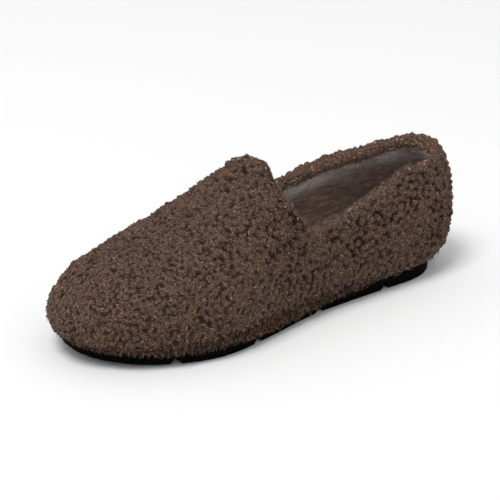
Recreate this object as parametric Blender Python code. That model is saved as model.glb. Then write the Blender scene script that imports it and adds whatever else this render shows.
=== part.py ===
"""Left house slipper in curly pile fabric: outsole, insole and one hollow upper.

Frame: +Z up with the floor at z = 0, toe towards -Y, heel towards +Y, the outer
(lateral) side of the foot towards +X. The origin lies under the middle of the
slipper's bounding box. All sizes are in metres.

A share is a place along the slipper: 0 at the back of the heel, 1 at the tip of the toe.
"""
import math
from collections import namedtuple

import bmesh
import bpy
import numpy as np
from mathutils import Vector, noise

# Driving sizes of the sole. A pair is for the lateral and the medial side
SOLE_LENGTH = 0.250
SOLE_THICKNESS = 0.0095
SOLE_HEEL_REACH = 0.034
SOLE_TOE_REACH = (0.0555, 0.0455)
SOLE_EDGE_ROUND = 0.0012
SOLE_TOP_CHAMFER = 0.002
SOLE_TAPER = 0.0004
TOE_SPRING = 0.0045
TOE_SPRING_FROM = 0.74
ARCH_LIFT = 0.0015
ARCH_FROM = 0.26
ARCH_TO = 0.60

# Grooves across the tread, where the sole bends
GROOVE_SHARES = (0.20, 0.41, 0.62, 0.83)
GROOVE_WIDTH = 0.0070
GROOVE_TIP = 0.0010
GROOVE_DEPTH = 0.0050

# Driving sizes of the upper
UPPER_BACK = 0.0170
UPPER_FRONT = 0.0075
UPPER_LENGTH = UPPER_BACK + SOLE_LENGTH + UPPER_FRONT
UPPER_HEEL_REACH = 0.045
UPPER_TOE_REACH = (0.0660, 0.0545)
WALL = 0.0055
COLLAR_ROLL = 0.0015
COLLAR_ROLL_DEPTH = 0.009
THROAT_SHARE = 0.54
THROAT_CORNER = 0.44
THROAT_HEIGHT = 0.0940
HEM_OUTSET = 0.0008
HEM_DROP = 0.0016

# Insole pad
INSOLE_THICKNESS = 0.0045
INSOLE_ROUND = 0.0015
INSOLE_SIDE_GAP = 0.0006

SEAT_GAP = 0.0003
END_POWER = 2.3
MERGE = 0.00002

# Curls of the pile, raised on the upper's outer side
CURL_PITCH = 0.0095
CURL_HEIGHT = 0.0024
CURL_SPACING = 0.0025

# Crest line of the vamp: it runs with the share, then halts at a pole over the toe and the heel
TOE_POLE = (0.68, 0.90)
HEEL_POLE = (0.30, 0.06)

# Mesh density
WALL_ROWS = 12
TUCK_ROWS = 4
HEM_ROWS = 3
LIP_ROWS = 4
INSIDE_ROWS = 8
INSIDE_TUCK_ROWS = 3
BACK_COLUMNS = 27
THROAT_COLUMNS = 9
VAMP_COLUMNS = 33
SOLE_SECTIONS = 52

Outline = namedtuple("Outline", "share centre lateral medial")
SOLE = (
    Outline(0.00, 0.0000, 0.0285, 0.0285),
    Outline(0.18, 0.0000, 0.0295, 0.0290),
    Outline(0.40, 0.0000, 0.0320, 0.0275),
    Outline(0.58, 0.0000, 0.0415, 0.0360),
    Outline(0.72, -0.0010, 0.0475, 0.0440),
    Outline(0.86, -0.0050, 0.0435, 0.0410),
    Outline(1.00, -0.0075, 0.0385, 0.0340),
)

# Cross sections of the upper: half widths and height of its widest line, height of the crest
Section = namedtuple("Section", "share centre lateral medial bulge crest fullness")
UPPER = (
    Section(0.00, 0.0000, 0.0325, 0.0315, 0.0315, 0.1640, 2.6),
    Section(0.20, 0.0000, 0.0345, 0.0330, 0.0290, 0.0935, 2.0),
    Section(0.42, 0.0000, 0.0365, 0.0370, 0.0300, 0.1100, 2.2),
    Section(THROAT_SHARE, 0.0000, 0.0415, 0.0395, 0.0295, THROAT_HEIGHT, 2.0),
    Section(0.71, -0.0010, 0.0510, 0.0495, 0.0310, 0.0675, 2.2),
    Section(0.84, -0.0030, 0.0480, 0.0450, 0.0245, 0.0505, 2.5),
    Section(1.00, -0.0060, 0.0420, 0.0380, 0.0180, 0.0420, 2.1),
)

# Height of the collar's edge on each side, from the heel to the corner of the throat and up to the crest
Collar = namedtuple("Collar", "share lateral medial")
COLLAR = (
    Collar(0.00, 0.0765, 0.0765),
    Collar(0.07, 0.0745, 0.0715),
    Collar(0.14, 0.0735, 0.0695),
    Collar(0.24, 0.0670, 0.0680),
    Collar(0.37, 0.0570, 0.0585),
    Collar(0.45, 0.0525, 0.0520),
    Collar(0.515, 0.0755, 0.0755),
    Collar(THROAT_SHARE, THROAT_HEIGHT, THROAT_HEIGHT),
)

# Row of a section across the sole: inset from the edge, share of the half width, height, arch
Row = namedtuple("Row", "inset across height arched")

LATERAL, MEDIAL = 1, -1
SIDES = (LATERAL, MEDIAL)
SIDE_COLUMN = {LATERAL: "lateral", MEDIAL: "medial"}


def blend(table, name, share):
    """A column of a table at any share, on a smooth curve that doesn't overshoot its rows."""
    knots = np.array([row.share for row in table])
    values = np.array([getattr(row, name) for row in table])
    steps = np.diff(knots)
    slopes = np.diff(values) / steps
    before, after = slopes[:-1], slopes[1:]
    weight_after = 2 * steps[1:] + steps[:-1]
    weight_before = steps[1:] + 2 * steps[:-1]
    turning = before * after <= 0
    mixed = np.where(turning, 1.0, weight_after * after + weight_before * before)
    inner = np.where(turning, 0.0, (weight_after + weight_before) * before * after / mixed)
    tangents = np.concatenate([slopes[:1], inner, slopes[-1:]])
    share = np.clip(share, knots[0], knots[-1])
    i = np.clip(np.searchsorted(knots, share, side="right") - 1, 0, len(steps) - 1)
    t = (share - knots[i]) / steps[i]
    start = (1 + 2 * t) * (1 - t) ** 2 * values[i] + t * (1 - t) ** 2 * steps[i] * tangents[i]
    stop = t * t * (3 - 2 * t) * values[i + 1] + t * t * (t - 1) * steps[i] * tangents[i + 1]
    return start + stop


def rounded_end(distance, reach):
    """Width factor near an end of an outline: 0 at the tip, 1 from the reach on."""
    left = 1 - np.clip(distance / reach, 0, 1)
    return (1 - left ** END_POWER) ** (1 / END_POWER)


def smooth(value, start, stop):
    """0 up to start and 1 from stop on, with an S curve between."""
    t = np.clip((value - start) / (stop - start), 0, 1)
    return t * t * (3 - 2 * t)


def sole_y(share):
    """Y of a share of the sole's own length."""
    return UPPER_LENGTH / 2 - UPPER_BACK - share * SOLE_LENGTH


def half_width(table, share, side, length, inset, heel_reach, toe_reach):
    """Half width of an outline on one side of its centre line, rounded off at both ends."""
    half = blend(table, SIDE_COLUMN[side], share) - inset
    half = half * rounded_end(share * length, heel_reach - inset)
    return half * rounded_end((1 - share) * length, toe_reach[SIDES.index(side)] - inset)


def sole_edge(share, side, inset=0.0):
    """Plan points of the sole's outline, drawn in by an inset."""
    length = SOLE_LENGTH - 2 * inset
    half = half_width(SOLE, share, side, length, inset, SOLE_HEEL_REACH, SOLE_TOE_REACH)
    along = sole_y(0) - inset - share * length
    return np.stack([blend(SOLE, "centre", share) + side * half, along], -1)


def upper_y(share):
    """Y of a share of the upper's length."""
    return UPPER_LENGTH / 2 - share * UPPER_LENGTH


def upper_edge(share, side):
    """Plan points of the upper's widest line."""
    half = half_width(UPPER, share, side, UPPER_LENGTH, 0.0, UPPER_HEEL_REACH, UPPER_TOE_REACH)
    return np.stack([blend(UPPER, "centre", share) + side * half, upper_y(share)], -1)


def toe_spring(y):
    """Lift of the sole towards the toe."""
    start, stop = sole_y(TOE_SPRING_FROM), sole_y(1.0)
    return TOE_SPRING * np.maximum((y - start) / (stop - start), 0) ** 2


def arch(share):
    """Lift of the tread under the inner side of the waist, 0 to 1."""
    run = np.clip((share - ARCH_FROM) / (ARCH_TO - ARCH_FROM), 0, 1)
    return np.sin(math.pi * run) ** 2


def eased(share, start, stop):
    """The share as far as start, then easing to a halt half way to stop."""
    run = np.clip((share - start) / (stop - start), 0, 1)
    halted = start + (stop - start) * (run - run * run / 2)
    return np.where((share - start) * (stop - start) > 0, halted, share)


def crest_share(share):
    """Where on the crest line the section that starts at a share ends."""
    return eased(eased(share, *TOE_POLE), *HEEL_POLE)


def wall_heights(share):
    """Heights of the widest line and of the crest for the sections that start at a share."""
    bulge = blend(UPPER, "bulge", share) + toe_spring(upper_y(share))
    at = crest_share(share)
    return bulge, blend(UPPER, "crest", at) + toe_spring(upper_y(at))


def collar_angle(share, side):
    """Angle of a section at which the collar cuts it: a right angle where it reaches the crest."""
    bulge, crest = wall_heights(share)
    cut_at = np.clip((blend(COLLAR, SIDE_COLUMN[side], share) - bulge) / (crest - bulge), 0, 1)
    return np.where(share < THROAT_SHARE, np.arcsin(cut_at), math.pi / 2)


def wall_points(share, side, angle, thickness):
    """Points of the upper's wall from its widest line (angle 0) towards the crest (a right angle).

    thickness draws the wall in from the outer side, so the same function gives the inner side.
    """
    at = crest_share(share)
    crest_plan = np.stack([blend(UPPER, "centre", at), upper_y(at)], -1)
    bulge, crest = wall_heights(share)
    out = upper_edge(share, side) - crest_plan
    reach = np.linalg.norm(out, axis=-1)
    across = np.cos(angle) ** (2 / blend(UPPER, "fullness", share))
    plan = crest_plan + out * (across * (reach - thickness) / reach)[..., None]
    height = bulge + (crest - thickness - bulge) * np.sin(angle)
    return np.concatenate([plan, height[..., None]], -1)


def tuck_points(foot, bulge_point, turn):
    """Quarter turn from a foot point (turn 1) up and out to the widest line (turn 0)."""
    angle = turn * math.pi / 2
    plan = bulge_point[..., :2] + (foot[..., :2] - bulge_point[..., :2]) * (1 - math.cos(angle))
    height = bulge_point[..., 2] - (bulge_point[..., 2] - foot[..., 2]) * math.sin(angle)
    return np.concatenate([plan, height[..., None]], -1)


def foot_points(share, side, inset, drop=0.0):
    """Points of the upper's lower edge over the sole."""
    plan = sole_edge(share, side, inset)
    height = SOLE_THICKNESS + SEAT_GAP - drop + toe_spring(plan[..., 1])
    return np.concatenate([plan, height[..., None]], -1)


def even_shares(start, stop, count):
    """Shares at even steps along the upper's widest line."""
    fine = np.linspace(start, stop, 40 * count)
    steps = np.linalg.norm(np.diff(upper_edge(fine, LATERAL), axis=0), axis=1)
    run = np.concatenate([[0.0], np.cumsum(steps)])
    return np.interp(np.linspace(0, run[-1], count + 1), run, fine)


def column_shares():
    """Shares of the upper's columns at its foot, evenly spread, and at its rim, closing up on the throat."""
    back = even_shares(0.0, THROAT_CORNER, BACK_COLUMNS)[:-1]
    front = even_shares(THROAT_SHARE, 1.0, VAMP_COLUMNS)[1:]
    even = np.linspace(1, 0, THROAT_COLUMNS + 1)
    foot = THROAT_SHARE - (THROAT_SHARE - THROAT_CORNER) * even
    rim = THROAT_SHARE - (THROAT_SHARE - THROAT_CORNER) * even ** 2
    return np.concatenate([back, foot, front]), np.concatenate([back, rim, front])


def wall_row(columns, side, rise, thickness):
    """Row of the wall at a rise of 0 (widest line) to 1 (collar or crest)."""
    foot, rim = columns
    share = rim + (foot - rim) * (1 - rise) ** 2
    return wall_points(share, side, collar_angle(rim, side) * rise, thickness)


def outer_rows(columns, side):
    """Rows of the outer side, from the foot on the sole to the collar or the crest."""
    foot_share = columns[0]
    bulge = wall_row(columns, side, 0.0, 0.0)
    hem = foot_points(foot_share, side, -HEM_OUTSET, HEM_DROP)
    rows = [foot_points(foot_share, side, SOLE_TOP_CHAMFER)]
    rows += [tuck_points(hem, bulge, turn) for turn in np.linspace(1, 0, TUCK_ROWS, endpoint=False)]
    rows += [wall_row(columns, side, rise, 0.0) for rise in np.linspace(0, 1, WALL_ROWS + 1)]
    return np.stack(rows, 1)


def inner_rows(columns, side, rim):
    """Rows of the inner side, from the collar or the crest down to the foot inside the wall.

    rim is the collar's edge: within the roll's depth of it the wall is thicker.
    """
    rows = []
    for rise in np.linspace(1, 0, INSIDE_ROWS + 1):
        plain = wall_row(columns, side, rise, WALL)
        away = np.linalg.norm(plain[:, None] - rim[None], axis=2).min(1) - WALL
        roll = COLLAR_ROLL * (1 - smooth(away, COLLAR_ROLL_DEPTH / 2, COLLAR_ROLL_DEPTH))
        rows.append(wall_row(columns, side, rise, WALL + roll))
    foot = foot_points(columns[0], side, SOLE_TOP_CHAMFER + WALL)
    turns = np.linspace(0, 1, INSIDE_TUCK_ROWS + 1)[1:]
    rows += [tuck_points(foot, rows[INSIDE_ROWS], turn) for turn in turns]
    return np.stack(rows, 1)


def lip_rows(outer_rim, inner_rim):
    """Half-round lip over the collar's closed edge, from its outer rim to its inner rim."""
    middle = (outer_rim + inner_rim) / 2
    radius = outer_rim - middle
    along = np.roll(middle, -1, 0) - np.roll(middle, 1, 0)
    over = np.cross(along, radius)
    over /= np.linalg.norm(over, axis=1, keepdims=True)
    over *= np.linalg.norm(radius, axis=1, keepdims=True)
    turns = np.linspace(0, math.pi, LIP_ROWS + 1)
    return np.stack([middle + radius * math.cos(t) + over * math.sin(t) for t in turns], 1)


def add_grid(bm, points):
    """Quads over a grid of points, and the grid of their vertices."""
    verts = [[bm.verts.new(Vector(point)) for point in column] for column in points]
    for left, right in zip(verts, verts[1:]):
        for k in range(len(left) - 1):
            bm.faces.new([left[k], right[k], right[k + 1], left[k + 1]])
    return verts


def close_mesh(bm):
    """Weld a grid's seams, drop what has no area and turn the faces outward."""
    bmesh.ops.remove_doubles(bm, verts=bm.verts, dist=MERGE)
    bmesh.ops.dissolve_degenerate(bm, edges=bm.edges, dist=MERGE)
    bmesh.ops.recalc_face_normals(bm, faces=bm.faces)


def raise_curls(bm, pile):
    """Lift the pile's curls out of the marked vertices, flatter where the vertices crowd."""
    bm.normal_update()
    moves = []
    for vert in bm.verts:
        if vert[pile]:
            distances, _ = noise.voronoi(vert.co / CURL_PITCH)
            spacing = min(edge.calc_length() for edge in vert.link_edges)
            strength = min(1.0, spacing / CURL_SPACING)
            moves.append((vert, vert.normal * CURL_HEIGHT * strength * (0.5 - distances[0])))
    for vert, move in moves:
        vert.co += move


def upper_mesh():
    """One hollow wall: outer side, lip round the collar, inner side and the edge on the sole."""
    columns = column_shares()
    throat = BACK_COLUMNS + THROAT_COLUMNS + 1
    outer = {side: outer_rows(columns, side) for side in SIDES}
    rim = np.concatenate([outer[side][:throat, -1] for side in SIDES])
    inner = {side: inner_rows(columns, side, rim) for side in SIDES}
    bm = bmesh.new()
    pile = bm.verts.layers.int.new("pile")
    marked = []
    for side in SIDES:
        wall = add_grid(bm, outer[side])
        marked += [vert for column in wall for vert in column[HEM_ROWS:]]
        add_grid(bm, inner[side])
        add_grid(bm, np.stack([inner[side][:, -1], outer[side][:, 0]], 1))
    ring_outer = np.concatenate([outer[LATERAL][:throat, -1], outer[MEDIAL][1:throat - 1, -1][::-1]])
    ring_inner = np.concatenate([inner[LATERAL][:throat, 0], inner[MEDIAL][1:throat - 1, 0][::-1]])
    lip = lip_rows(ring_outer, ring_inner)
    marked += [vert for column in add_grid(bm, np.concatenate([lip, lip[:1]])) for vert in column]
    for vert in marked:
        vert[pile] = 1
    close_mesh(bm)
    raise_curls(bm, pile)
    bm.verts.layers.int.remove(pile)
    return bm


def section_loop(share, profile):
    """Closed section across the sole or the insole, from the underside's middle round both sides."""
    loop = []
    for side in SIDES:
        half = []
        for row in profile:
            edges = {each: sole_edge(share, each, row.inset) for each in SIDES}
            middle = (edges[LATERAL] + edges[MEDIAL]) / 2
            plan = middle + (edges[side] - middle) * row.across
            inner_side = (1 - side * row.across) / 2
            height = row.height + toe_spring(plan[..., 1]) + ARCH_LIFT * row.arched * inner_side * arch(share)
            half.append(np.concatenate([plan, height[..., None]], -1))
        loop += half if side == LATERAL else half[::-1]
    return np.stack(loop, 1)


def section_shares(count):
    """Shares of the sections across, closing up towards the round ends."""
    return (1 - np.cos(np.linspace(0, math.pi, count))) / 2


def section_mesh(profile):
    """Solid lofted through the sections across, pinched shut at both ends."""
    loops = section_loop(section_shares(SOLE_SECTIONS), profile)
    bm = bmesh.new()
    add_grid(bm, np.concatenate([loops, loops[:, :1]], 1))
    close_mesh(bm)
    return bm


def round_corner(inset, radius, steps):
    """Profile rows of a rounded lower edge, from the underside out to the side."""
    turns = np.linspace(0, math.pi / 2, steps + 1)
    return [Row(inset + radius * (1 - math.sin(t)), 1.0, radius * (1 - math.cos(t)), 1.0) for t in turns]


def outsole_profile():
    """Flat tread, round lower edge, side that leans out a little, chamfer under the pile's hem."""
    flat = SOLE_TAPER + SOLE_EDGE_ROUND
    profile = [Row(flat, 0.0, 0.0, 1.0), Row(flat, 0.6, 0.0, 1.0)]
    profile += round_corner(SOLE_TAPER, SOLE_EDGE_ROUND, 3)
    profile.append(Row(0.0, 1.0, SOLE_THICKNESS - SOLE_TOP_CHAMFER, 0.0))
    profile += [Row(SOLE_TOP_CHAMFER, across, SOLE_THICKNESS, 0.0) for across in (1.0, 0.0)]
    return profile


def insole_profile():
    """Pad with rounded upper edge, clear of the upper's foot all round."""
    low = SOLE_THICKNESS + SEAT_GAP
    high = low + INSOLE_THICKNESS
    inset = SOLE_TOP_CHAMFER + WALL + INSOLE_SIDE_GAP
    profile = [Row(inset, across, low, 0.0) for across in (0.0, 1.0)]
    profile.append(Row(inset, 1.0, high - INSOLE_ROUND, 0.0))
    profile += [Row(inset + INSOLE_ROUND, across, high, 0.0) for across in (1.0, 0.0)]
    return profile


def material(name, colour, roughness):
    """A plain Principled material."""
    made = bpy.data.materials.new(name)
    made.use_nodes = True
    shader = made.node_tree.nodes["Principled BSDF"]
    shader.inputs["Base Color"].default_value = (*colour, 1.0)
    shader.inputs["Roughness"].default_value = roughness
    shader.inputs["Metallic"].default_value = 0.0
    made.diffuse_color = (*colour, 1.0)
    return made


def add_object(name, bm, collection, finish=None):
    """Object made from a bmesh, in a collection."""
    mesh = bpy.data.meshes.new(name)
    bm.to_mesh(mesh)
    bm.free()
    made = bpy.data.objects.new(name, mesh)
    collection.objects.link(made)
    if finish:
        mesh.materials.append(finish)
        mesh.shade_smooth()
        mesh.set_sharp_from_angle(angle=math.radians(40))
    return made


def groove_cutter(share, collection):
    """Tapered bar across the tread."""
    bm = bmesh.new()
    bmesh.ops.create_cube(bm, size=1.0)
    floor = float(toe_spring(sole_y(share)))
    for vert in bm.verts:
        top = vert.co.z > 0
        width = GROOVE_TIP if top else 2 * GROOVE_WIDTH - GROOVE_TIP
        vert.co.x *= SOLE_LENGTH
        vert.co.y = vert.co.y * width + sole_y(share)
        vert.co.z = floor + GROOVE_DEPTH * (1 if top else -1)
    cutter = add_object(f"groove_cutter_{round(share * 100)}", bm, collection)
    cutter.hide_render = True
    cutter.display_type = "WIRE"
    return cutter


def cut(target, cutter):
    """Boolean difference that stays on the target."""
    modifier = target.modifiers.new(cutter.name, "BOOLEAN")
    modifier.operation = "DIFFERENCE"
    modifier.solver = "EXACT"
    modifier.object = cutter


def build_outsole(collection, cutters):
    """Black rubber outsole with flex grooves across its tread."""
    rubber = material("outsole_rubber", (0.006, 0.006, 0.007), 0.55)
    outsole = add_object("outsole", section_mesh(outsole_profile()), collection, rubber)
    for share in GROOVE_SHARES:
        cut(outsole, groove_cutter(share, cutters))
    return outsole


def build_insole(collection):
    """Footbed pad on the sole, inside the wall."""
    lining = material("insole_pile", (0.055, 0.042, 0.034), 0.95)
    return add_object("insole", section_mesh(insole_profile()), collection, lining)


def build_upper(collection):
    """Hollow upper of curly pile fabric."""
    pile = material("upper_pile", (0.075, 0.048, 0.037), 0.95)
    return add_object("upper", upper_mesh(), collection, pile)


def main():
    """Clear the scene and build the slipper's pieces."""
    for item in list(bpy.data.objects):
        bpy.data.objects.remove(item, do_unlink=True)
    parts = bpy.data.collections.new("fuzzy_slipper")
    cutters = bpy.data.collections.new("cutters")
    for collection in (parts, cutters):
        bpy.context.scene.collection.children.link(collection)
    build_outsole(parts, cutters)
    build_insole(parts)
    build_upper(parts)


main()
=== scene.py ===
"""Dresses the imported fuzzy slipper: curly pile upper, fur lining, soft footbed and rubber sole."""

import logging
import math
from dataclasses import dataclass, fields
from enum import Enum
from typing import Any, Callable, Iterable

import bpy
import numpy as np
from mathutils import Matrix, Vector, noise
from mathutils.kdtree import KDTree


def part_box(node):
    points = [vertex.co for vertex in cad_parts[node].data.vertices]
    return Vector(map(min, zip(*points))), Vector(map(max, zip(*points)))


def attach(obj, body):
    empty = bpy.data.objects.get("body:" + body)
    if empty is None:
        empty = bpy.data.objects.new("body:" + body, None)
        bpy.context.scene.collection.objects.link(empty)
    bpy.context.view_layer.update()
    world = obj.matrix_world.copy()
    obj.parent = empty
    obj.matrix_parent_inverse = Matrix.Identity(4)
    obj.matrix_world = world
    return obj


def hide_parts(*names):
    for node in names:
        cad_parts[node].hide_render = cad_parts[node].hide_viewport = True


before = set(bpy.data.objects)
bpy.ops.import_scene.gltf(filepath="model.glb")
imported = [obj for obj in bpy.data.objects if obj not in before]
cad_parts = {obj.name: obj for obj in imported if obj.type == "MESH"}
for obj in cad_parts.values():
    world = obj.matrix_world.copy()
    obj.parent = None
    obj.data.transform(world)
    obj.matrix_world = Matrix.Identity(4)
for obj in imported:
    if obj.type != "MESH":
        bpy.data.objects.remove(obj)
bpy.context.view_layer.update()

LOG = logging.getLogger("slipper")
MM = 0.001
BAKE_MAP = "OFBake"
MAP_MARGIN = 0.08
MAP_ASPECT = 2.5
MERGE_DISTANCE = 0.00001
QUAD_LIMIT = 0.9
MIX_FACTOR, MIX_FIRST, MIX_SECOND, MIX_RESULT = 0, 6, 7, 2

Pair = tuple[float, float]
Place = tuple[float, float, float]
Colour = tuple[float, float, float]
Noise = tuple[Any, ...]
Array = np.ndarray
Rng = np.random.Generator
Piece = bpy.types.Object
Mesh = bpy.types.Mesh
Socket = bpy.types.NodeSocket
Material = bpy.types.Material


class Node(str, Enum):
    """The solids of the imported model."""

    OUTSOLE = "outsole"
    INSOLE = "insole"
    UPPER = "upper"


class Slot(str, Enum):
    """The record's material slots."""

    FOOTBED = "insole_pile"
    PILE = "upper_pile"


class Zone(Enum):
    """The panels that the pile is made in, so that no piece grows too heavy."""

    TOE = "pile_toe"
    VAMP = "pile_vamp"
    LATERAL = "pile_lateral"
    MEDIAL = "pile_medial"
    COLLAR = "pile_collar"


@dataclass(frozen=True)
class Value:
    """A number socket of a shader tree that takes part in Python expressions."""

    tree: "ShaderTree"
    socket: Socket

    def math(self, operation: str, *others: Any, swapped: bool = False) -> "Value":
        """Adds one Math node.

        Args:
            operation: The Math node's operation.
            others: Numbers or values that follow this one.
            swapped: Whether this value comes after the others.

        Returns:
            The result as a value.
        """
        terms = [*others, self] if swapped else [self, *others]
        made = self.tree.node("ShaderNodeMath", {"operation": operation}, dict(enumerate(terms)))
        return Value(self.tree, made.outputs[0])

    def __add__(self, other: Any) -> "Value":
        """Sum of two values."""
        return self.math("ADD", other)

    def __radd__(self, other: Any) -> "Value":
        """Sum of a number and a value."""
        return self.math("ADD", other)

    def __sub__(self, other: Any) -> "Value":
        """Difference of two values."""
        return self.math("SUBTRACT", other)

    def __rsub__(self, other: Any) -> "Value":
        """A number less a value."""
        return self.math("SUBTRACT", other, swapped=True)

    def __mul__(self, other: Any) -> "Value":
        """Product of two values."""
        return self.math("MULTIPLY", other)

    def __rmul__(self, other: Any) -> "Value":
        """Product of a number and a value."""
        return self.math("MULTIPLY", other)

    def between(self, low: float, high: float) -> "Value":
        """Smooth step of this value, from 0 at low to 1 at high."""
        ends = {"Value": self, "From Min": low, "From Max": high}
        made = self.tree.node("ShaderNodeMapRange", {"interpolation_type": "SMOOTHSTEP"}, ends)
        return Value(self.tree, made.outputs[0])


class ShaderTree:
    """The node tree of one material, with a Principled shader at its end."""

    def __init__(self, name: str) -> None:
        """Makes the material.

        Args:
            name: The material's name.
        """
        self.material = bpy.data.materials.new(name)
        self.material.use_nodes = True
        self.nodes = self.material.node_tree.nodes
        self.links = self.material.node_tree.links
        self.nodes.clear()
        self.shader = self.node("ShaderNodeBsdfPrincipled", {}, {})
        self.node("ShaderNodeOutputMaterial", {}, {"Surface": self.shader.outputs[0]})

    def node(self, kind: str, settings: dict[str, Any], inputs: dict[Any, Any]) -> bpy.types.Node:
        """Adds a node.

        Args:
            kind: The node's type name.
            settings: Its properties, set before its sockets are filled.
            inputs: Numbers, colours, values or sockets by input name or number.

        Returns:
            The new node.
        """
        made = self.nodes.new(kind)
        for key, setting in settings.items():
            setattr(made, key, setting)
        for key, given in inputs.items():
            self.plug(made.inputs[key], given)
        return made

    def plug(self, socket: Socket, given: Any) -> None:
        """Links or sets one input socket.

        Args:
            socket: The input.
            given: A value, a socket, a number, a colour or a vector.
        """
        if isinstance(given, Value):
            given = given.socket
        if isinstance(given, Socket):
            self.links.new(given, socket)
        elif socket.type == "RGBA":
            socket.default_value = (*given, 1.0)
        else:
            socket.default_value = given

    def attribute(self, name: str) -> Value:
        """A mesh attribute as a value."""
        return Value(self, self.node("ShaderNodeAttribute", {"attribute_name": name}, {}).outputs["Fac"])

    def place(self, stretch: Place = (1.0, 1.0, 1.0)) -> Socket:
        """Object coordinates, scaled along each axis."""
        source = self.node("ShaderNodeTexCoord", {}, {}).outputs["Object"]
        return self.node("ShaderNodeMapping", {}, {"Vector": source, "Scale": stretch}).outputs[0]

    def facing_down(self) -> Value:
        """How far the surface faces the floor, from -1 to 1."""
        normal = self.node("ShaderNodeNewGeometry", {}, {}).outputs["Normal"]
        return -1.0 * Value(self, self.node("ShaderNodeSeparateXYZ", {}, {"Vector": normal}).outputs["Z"])

    def noise(self, scale: float, detail: float, stretch: Place = (1.0, 1.0, 1.0)) -> Value:
        """Noise from 0 to 1, of so many cells per metre and so many octaves."""
        inputs = {"Vector": self.place(stretch), "Scale": scale, "Detail": detail}
        return Value(self, self.node("ShaderNodeTexNoise", {}, inputs).outputs["Fac"])

    def cells(self, scale: float) -> Value:
        """Distance to the nearest centre of a pattern of so many cells per metre."""
        inputs = {"Vector": self.place(), "Scale": scale}
        return Value(self, self.node("ShaderNodeTexVoronoi", {}, inputs).outputs["Distance"])

    def waves(self, scale: float, stretch: Place, bend: float, bend_scale: float) -> Value:
        """Bands from 0 to 1 across the X axis that wander by a bend of its own scale."""
        wander = {"Distortion": bend, "Detail Scale": bend_scale}
        inputs = {"Vector": self.place(stretch), "Scale": scale, **wander}
        return Value(self, self.node("ShaderNodeTexWave", {}, inputs).outputs["Fac"])

    def mix(self, factor: Value, first: Any, second: Any) -> Socket:
        """Mixes two colours: a factor of 0 gives the first and 1 the second."""
        inputs = {MIX_FACTOR: factor, MIX_FIRST: first, MIX_SECOND: second}
        return self.node("ShaderNodeMix", {"data_type": "RGBA"}, inputs).outputs[MIX_RESULT]

    def bump(self, height: Value, strength: float, distance: float) -> Socket:
        """Bump from a height value, where 1 stands for a distance in metres."""
        inputs = {"Strength": strength, "Distance": distance, "Height": height}
        return self.node("ShaderNodeBump", {}, inputs).outputs[0]

    def finish(self, inputs: dict[str, Any]) -> Material:
        """Fills the shader's sockets.

        Args:
            inputs: Values, numbers, colours or sockets by input name.

        Returns:
            The material.
        """
        for key, given in inputs.items():
            self.plug(self.shader.inputs[key], given)
        return self.material


@dataclass(frozen=True)
class CurlFinish:
    """Curly wool fibres, with painted shade that darkens each fibre towards its root, paler fibres at random
    that are partly the wool's own tone and partly painted highlight, and a few fibres with a painted copper
    glint on top.
    """

    name: str = "curl_fibre"
    # root: painted shade at the foot of each fibre, deep in the pile
    root: Colour = (0.014, 0.0083, 0.0062)
    body: Colour = (0.038, 0.0214, 0.0149)
    # light: colour of the paler fibres, partly the wool's own tone and partly painted highlight on the curls'
    # crescents
    light: Colour = (0.385, 0.225, 0.157)
    # copper: colour of a painted copper glint on a few fibres
    copper: Colour = (0.720, 0.335, 0.200)
    gleam: Colour = (1.0, 0.62, 0.45)
    sheen: Colour = (0.72, 0.55, 0.47)
    fleck: Noise = (1700.0, 3.0)
    grain: Noise = (3200.0, 2.0)
    relief: Pair = (0.35, 0.12 * MM)
    tone_ends: Pair = (0.52, 0.86)
    root_ends: Pair = (0.10, 0.92)
    copper_ends: Pair = (0.35, 0.9)

    def material(self) -> Material:
        """Makes the material.

        Returns:
            The material.
        """
        tree = ShaderTree(self.name)
        rise = tree.attribute("rise")
        tone = tree.attribute("shade") + tree.noise(*self.fleck) * 0.3 - 0.15
        top = tree.mix(tone.between(*self.tone_ends), self.body, self.light)
        # Painted shade: each fibre darkens from its top down to its root, by its rise.
        wool = tree.mix(rise.between(*self.root_ends), self.root, top)
        # Painted highlight: a copper glint on the fibres that carry one, strongest near their tops.
        glint_amount = tree.attribute("glint") * rise.between(*self.copper_ends)
        return tree.finish({
            "Base Color": tree.mix(glint_amount, wool, self.copper),
            "Roughness": 0.78 - 0.22 * rise,
            "Normal": tree.bump(tree.noise(*self.grain), *self.relief),
            "Specular IOR Level": 0.22,
            "Specular Tint": self.gleam,
            "Sheen Weight": 0.08,
            "Sheen Roughness": 0.45,
            "Sheen Tint": self.sheen,
        })


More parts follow.
